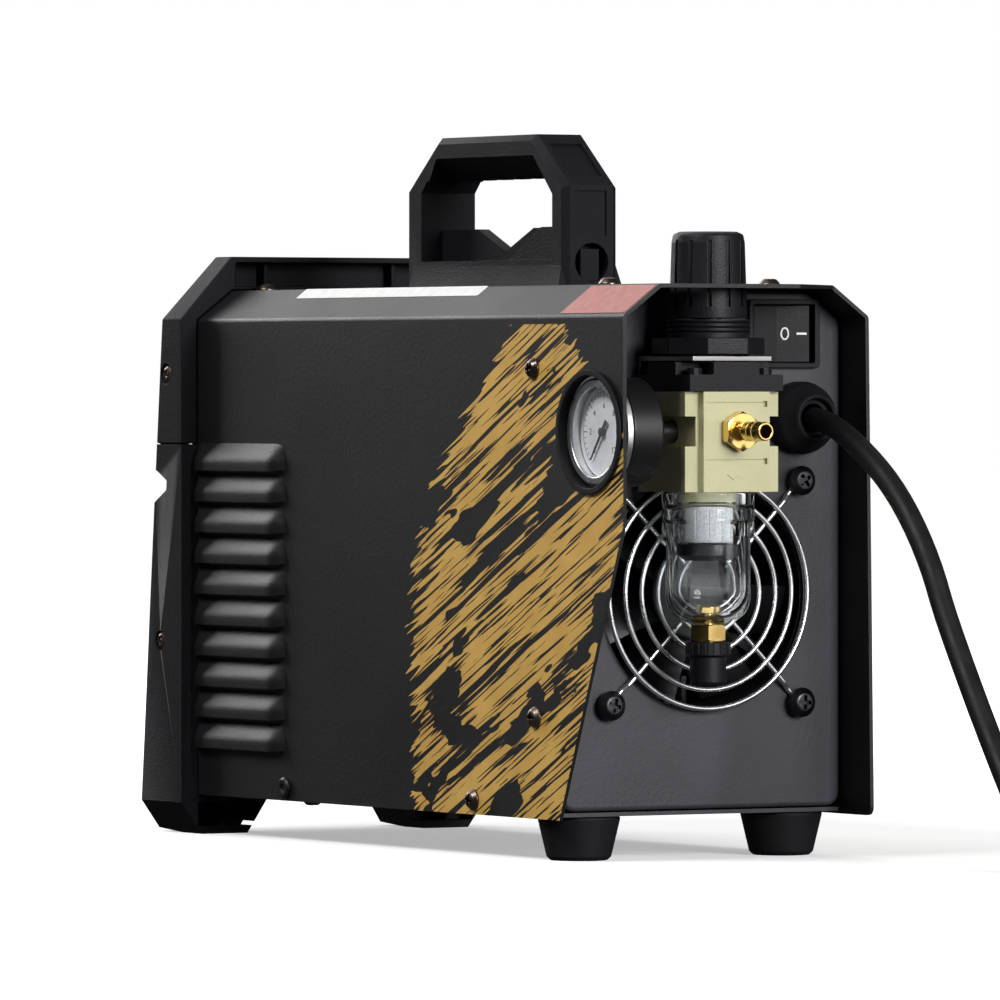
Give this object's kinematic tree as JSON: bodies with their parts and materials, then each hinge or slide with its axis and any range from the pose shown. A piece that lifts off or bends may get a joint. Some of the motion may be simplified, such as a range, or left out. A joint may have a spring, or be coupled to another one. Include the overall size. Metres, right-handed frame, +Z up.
{
  "type": "plasma cutter unit",
  "caption": "Portable inverter plasma cutter power source with carrying handle, rear cooling fan, filter regulator with pressure gauge, and mains cord.",
  "frame": {"origin": "middle of the machine's footprint, on the floor it stands on, measured without the mains cord", "axes": "+Z up, +Y from the control panel towards the rear panel, +X to the left seen from the rear"},
  "size_m": [0.2386, 0.5704, 0.2705],
  "materials": {
    "paint": "matte",
    "panel_paint": "satin",
    "shell": "textured",
    "black_plastic": "satin",
    "rubber": "matte",
    "zinc": "satin",
    "chrome": "polished",
    "brass": "turned",
    "champagne": "satin",
    "white": "matte",
    "clear": "clear",
    "circuit_board": "satin",
    "winding": "enamelled",
    "blue_plastic": "gloss",
    "aluminium": "satin"
  },
  "bodies": {
    "chassis": {"air_hose": "blue_plastic", "base_pan": "panel_paint", "bezel_lower": "shell", "bezel_upper": "shell", "capacitor_1": "blue_plastic", "capacitor_2": "blue_plastic", "cord_coil": "rubber", "cord_gland": "rubber", "cord_tail": "rubber", "cord_tie": "black_plastic", "cover": "paint", "display_window": "black_plastic", "drain_valve": "brass", "earth_contact": "brass", "earth_socket": "black_plastic", "fan_frame": "black_plastic", "fan_guard": "chrome", "fan_screw_1": "black_plastic", "fan_screw_2": "black_plastic", "fan_screw_3": "black_plastic", "fan_screw_4": "black_plastic", "filter_baffle": "black_plastic", "filter_bowl": "clear", "filter_element": "white", "front_panel": "panel_paint", "gauge_bezel": "chrome", "gauge_case": "black_plastic", "gauge_dial": "white", "gauge_lens": "clear", "gauge_trim": "rubber", "handle": "shell", "heat_sink": "aluminium", "inlet_barb": "brass", "main_board": "circuit_board", "outlet_fitting": "brass", "plug_pin_1": "chrome", "plug_pin_2": "chrome", "power_cord": "rubber", "power_plug": "rubber", "rear_foot_left": "rubber", "rear_foot_right": "rubber", "rear_panel": "panel_paint", "regulator_body": "champagne", "regulator_bonnet": "black_plastic", "regulator_bracket": "zinc", "regulator_ring_nut": "black_plastic", "solenoid_valve": "black_plastic", "switch_housing": "black_plastic", "torch_contact": "brass", "torch_socket": "black_plastic", "transformer": "winding"},
    "fan_rotor": {"fan_rotor": "black_plastic"},
    "rocker": {"switch_rocker": "black_plastic"},
    "spindle": {"regulator_spindle": "chrome"},
    "knob": {"regulator_knob": "black_plastic"},
    "drain": {"drain_knob": "black_plastic"},
    "needle": {"gauge_needle": "black_plastic"},
    "current_knob": {"current_knob": "black_plastic"},
    "mode_button": {"mode_button": "black_plastic"},
    "gas_test_button": {"gas_test_button": "black_plastic"}
  },
  "joints": [
    {"name": "fan_spin", "type": "hinge", "parent": "chassis", "child": "fan_rotor", "pos_m": [0, 0.108, 0.0987], "axis": [0, 1, 0], "continuous": true},
    {"name": "power_switch", "type": "hinge", "parent": "chassis", "child": "rocker", "pos_m": [-0.0343, 0.1195, 0.1946], "axis": [0, 0, 1], "range_deg": [0, 20]},
    {"name": "pressure_adjust", "type": "hinge", "parent": "chassis", "child": "spindle", "pos_m": [0.0114, 0.1449, 0.2], "axis": [0, 0, 1], "range_deg": [-720, 1080]},
    {"name": "knob_unlock", "type": "slide", "parent": "spindle", "child": "knob", "axis": [0, 0, 1], "range_m": [0, 0.0025]},
    {"name": "drain_turn", "type": "hinge", "parent": "chassis", "child": "drain", "pos_m": [0.0114, 0.1449, 0.073], "axis": [0, 0, 1], "range_deg": [0, 90]},
    {"name": "gauge_needle_swing", "type": "hinge", "parent": "chassis", "child": "needle", "pos_m": [0.0571, 0.1449, 0.1583], "axis": [-1, 0, 0], "range_deg": [0, 270], "stiffness_Nm_per_rad": 0.0002, "springref_deg": -22.92},
    {"name": "current_adjust", "type": "hinge", "parent": "chassis", "child": "current_knob", "pos_m": [0, -0.16844, 0.12047], "axis": [0, -0.9959, 0.0902], "range_deg": [-140, 140]},
    {"name": "mode_press", "type": "slide", "parent": "chassis", "child": "mode_button", "axis": [0, 0.9959, -0.0902], "range_m": [0, 0.0015], "stiffness_N_per_m": 300, "springref_m": -0.003},
    {"name": "gas_test_press", "type": "slide", "parent": "chassis", "child": "gas_test_button", "axis": [0, 0.9959, -0.0902], "range_m": [0, 0.0015], "stiffness_N_per_m": 300, "springref_m": -0.003}
  ]
}
